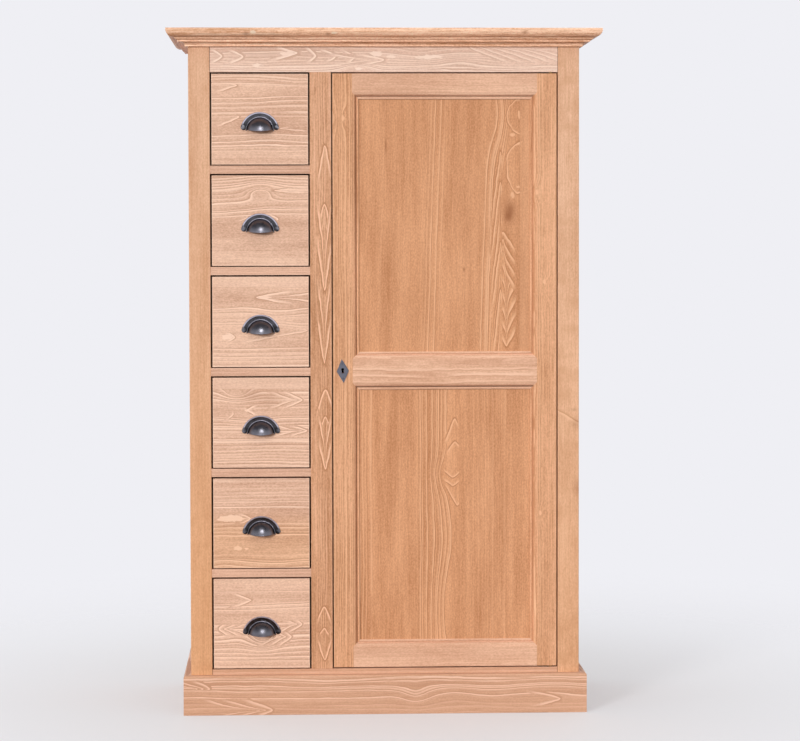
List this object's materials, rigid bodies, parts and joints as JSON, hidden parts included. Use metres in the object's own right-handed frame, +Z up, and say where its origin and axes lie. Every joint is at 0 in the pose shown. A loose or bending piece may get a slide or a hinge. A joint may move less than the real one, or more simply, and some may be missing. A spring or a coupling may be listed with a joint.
{
  "type": "chifforobe",
  "caption": "Softwood wardrobe chest with a column of small inset drawers on cup pulls beside a tall panelled door, under a moulded cornice and on a plinth.",
  "frame": {"origin": "on the floor, under the middle of the whole outline", "axes": "+X to the viewer's right, +Y from the front to the back, +Z up"},
  "size_m": [1.054, 0.502, 1.669],
  "materials": {
    "pine": "brushed and oiled, satin",
    "inside_pine": "planed, unfinished",
    "back_board": "plain plywood",
    "dark_iron": "antique pewter, worn bright on its edges",
    "lock_steel": "zinc plated",
    "hinge_brass": "dull brass",
    "rail_steel": "chromed tube"
  },
  "bodies": {
    "carcass": {"side_panel_left": "pine", "side_panel_right": "pine", "partition_panel": "pine", "carcass_floor": "pine", "top_board": "pine", "back_panel": "back_board", "base_rail_back": "inside_pine", "stile_left": "pine", "stile_centre": "pine", "stile_right": "pine", "top_rail": "pine", "bottom_rail": "pine", "drawer_rails": "pine", "cornice_front": "pine", "cornice_left": "pine", "cornice_right": "pine", "plinth_front": "pine", "plinth_left": "pine", "plinth_right": "pine", "drawer_runners": "inside_pine", "drawer_kickers": "inside_pine", "drawer_guides": "inside_pine", "drawer_stops": "inside_pine", "hinge_frame_leaves": "hinge_brass", "hat_shelf": "inside_pine", "shelf_battens": "inside_pine", "hanging_rail": "rail_steel", "rail_sockets": "rail_steel", "door_stops": "inside_pine"},
    "door": {"door_stile_left": "pine", "door_stile_right": "pine", "door_rail_top": "pine", "door_rail_middle": "pine", "door_rail_bottom": "pine", "door_panel_upper": "pine", "door_panel_lower": "pine", "hinge_door_leaves": "hinge_brass", "lock_case": "lock_steel", "key_plate": "dark_iron"},
    "lock_bolt": {"lock_bolt": "lock_steel"},
    "drawer_1": {"drawer_front_1": "pine", "drawer_box_1": "inside_pine", "cup_pull_1": "dark_iron"},
    "drawer_2": {"drawer_front_2": "pine", "drawer_box_2": "inside_pine", "cup_pull_2": "dark_iron"},
    "drawer_3": {"drawer_front_3": "pine", "drawer_box_3": "inside_pine", "cup_pull_3": "dark_iron"},
    "drawer_4": {"drawer_front_4": "pine", "drawer_box_4": "inside_pine", "cup_pull_4": "dark_iron"},
    "drawer_5": {"drawer_front_5": "pine", "drawer_box_5": "inside_pine", "cup_pull_5": "dark_iron"},
    "drawer_6": {"drawer_front_6": "pine", "drawer_box_6": "inside_pine", "cup_pull_6": "dark_iron"}
  },
  "joints": [
    {"name": "door_hinge", "type": "hinge", "parent": "carcass", "child": "door", "pos_m": [0.406, -0.19, 0.8375], "axis": [0, 0, 1], "range_deg": [0, 110]},
    {"name": "lock_bolt_slide", "type": "slide", "parent": "door", "child": "lock_bolt", "axis": [-1, 0, 0], "range_m": [0, 0.01]},
    {"name": "drawer_1_slide", "type": "slide", "parent": "carcass", "child": "drawer_1", "axis": [0, -1, 0], "range_m": [0, 0.3]},
    {"name": "drawer_2_slide", "type": "slide", "parent": "carcass", "child": "drawer_2", "axis": [0, -1, 0], "range_m": [0, 0.3]},
    {"name": "drawer_3_slide", "type": "slide", "parent": "carcass", "child": "drawer_3", "axis": [0, -1, 0], "range_m": [0, 0.3]},
    {"name": "drawer_4_slide", "type": "slide", "parent": "carcass", "child": "drawer_4", "axis": [0, -1, 0], "range_m": [0, 0.3]},
    {"name": "drawer_5_slide", "type": "slide", "parent": "carcass", "child": "drawer_5", "axis": [0, -1, 0], "range_m": [0, 0.3]},
    {"name": "drawer_6_slide", "type": "slide", "parent": "carcass", "child": "drawer_6", "axis": [0, -1, 0], "range_m": [0, 0.3]}
  ]
}
